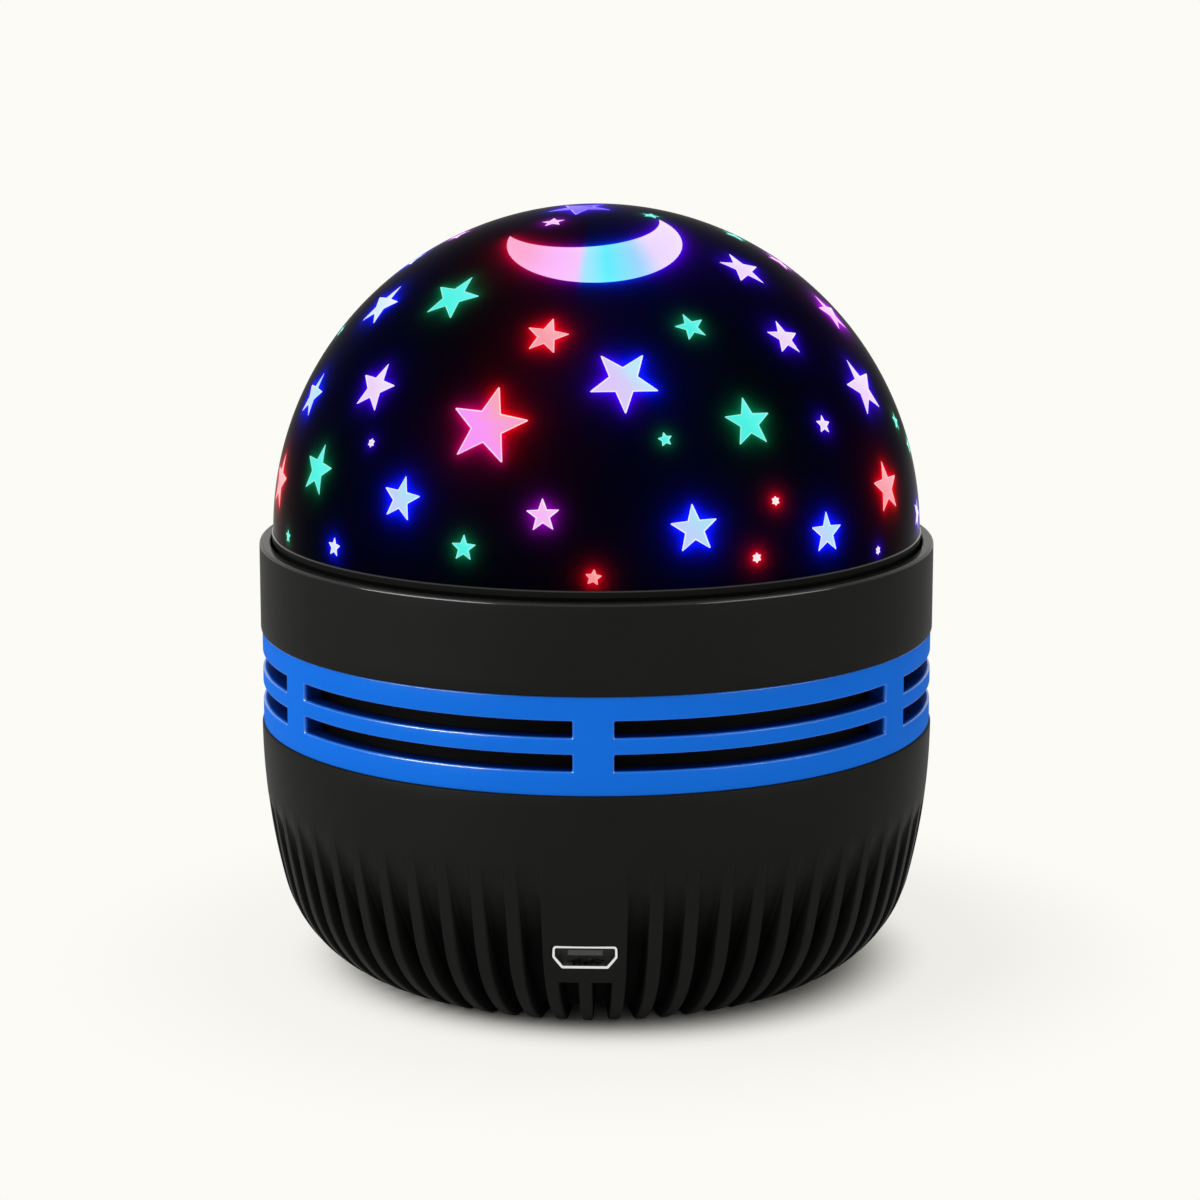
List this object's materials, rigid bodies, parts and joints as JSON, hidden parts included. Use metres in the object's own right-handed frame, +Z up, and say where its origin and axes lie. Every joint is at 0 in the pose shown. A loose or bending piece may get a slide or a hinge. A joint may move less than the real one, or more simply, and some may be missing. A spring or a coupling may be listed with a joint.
{
  "type": "star night light projector",
  "caption": "Round table-top night light with a ribbed base, slotted band and a turning dome with star and crescent windows.",
  "frame": {"origin": "centre of the round footprint, on the surface that the feet stand on", "axes": "+Z up along the dome's axis, -Y towards the power socket, +Y towards the mode button"},
  "size_m": [0.08, 0.08, 0.0906],
  "materials": {
    "housing_black": "satin moulded, fine spark texture",
    "dome_black": "polished gloss",
    "star_glow": "clear, lit from behind",
    "band_blue": "satin",
    "button_black": "satin",
    "white_moulding": "semi-matte",
    "bearing_plastic": "smooth",
    "steel": "plated",
    "brass": "bright",
    "green_board": "solder mask",
    "white_board": "solder mask",
    "black_part": "matte",
    "capacitor_sleeve": "shrink sleeve",
    "wire_cover": "soft",
    "foot_rubber": "matte",
    "clear_lens": "polished",
    "led_red": "lit",
    "led_green": "lit",
    "led_blue": "lit",
    "led_white": "lit"
  },
  "bodies": {
    "housing": {"base_shell": "housing_black", "vent_band": "band_blue", "collar": "housing_black", "bottom_cover": "housing_black", "rubber_feet": "foot_rubber", "cover_screws": "steel", "board_screws": "steel", "deck_screws": "steel", "column_screws": "steel", "bracket_screws": "steel", "lamp_screws": "steel", "lamp_column": "white_moulding", "thrust_washer": "bearing_plastic", "retaining_clip": "steel", "lamp_board": "white_board", "red_led": "led_red", "green_led": "led_green", "blue_led": "led_blue", "white_led": "led_white", "lens_cap": "clear_lens", "led_wires": "wire_cover", "motor_can": "steel", "motor_cap": "white_moulding", "gearbox": "brass", "motor_bracket": "white_moulding", "motor_terminals": "brass", "motor_wires": "wire_cover", "deck": "white_moulding", "main_board": "green_board", "control_chip": "black_part", "filter_capacitor": "capacitor_sleeve", "resistors": "black_part", "socket_shell": "steel", "socket_insulator": "black_part", "socket_contacts": "brass", "mode_switch": "black_part"},
    "dome": {"dome_skin": "dome_black", "star_windows": "star_glow", "turntable": "white_moulding", "hub_bush": "bearing_plastic"},
    "drive": {"pinion": "bearing_plastic", "output_shaft": "steel"},
    "button": {"mode_button": "button_black", "switch_plunger": "black_part"}
  },
  "joints": [
    {"name": "dome_spin", "type": "hinge", "parent": "housing", "child": "dome", "pos_m": [0, 0, 0.0486], "axis": [0, 0, 1], "continuous": true},
    {"name": "pinion_spin", "type": "hinge", "parent": "housing", "child": "drive", "pos_m": [0.0224, 0, 0.0462], "axis": [0, 0, 1], "continuous": true},
    {"name": "button_press", "type": "slide", "parent": "housing", "child": "button", "axis": [0, -1, 0], "range_m": [0, 0.0005], "stiffness_N_per_m": 2500}
  ],
  "couplings": [
    {"joint": "pinion_spin", "follows": "dome_spin", "ratio": 5}
  ]
}
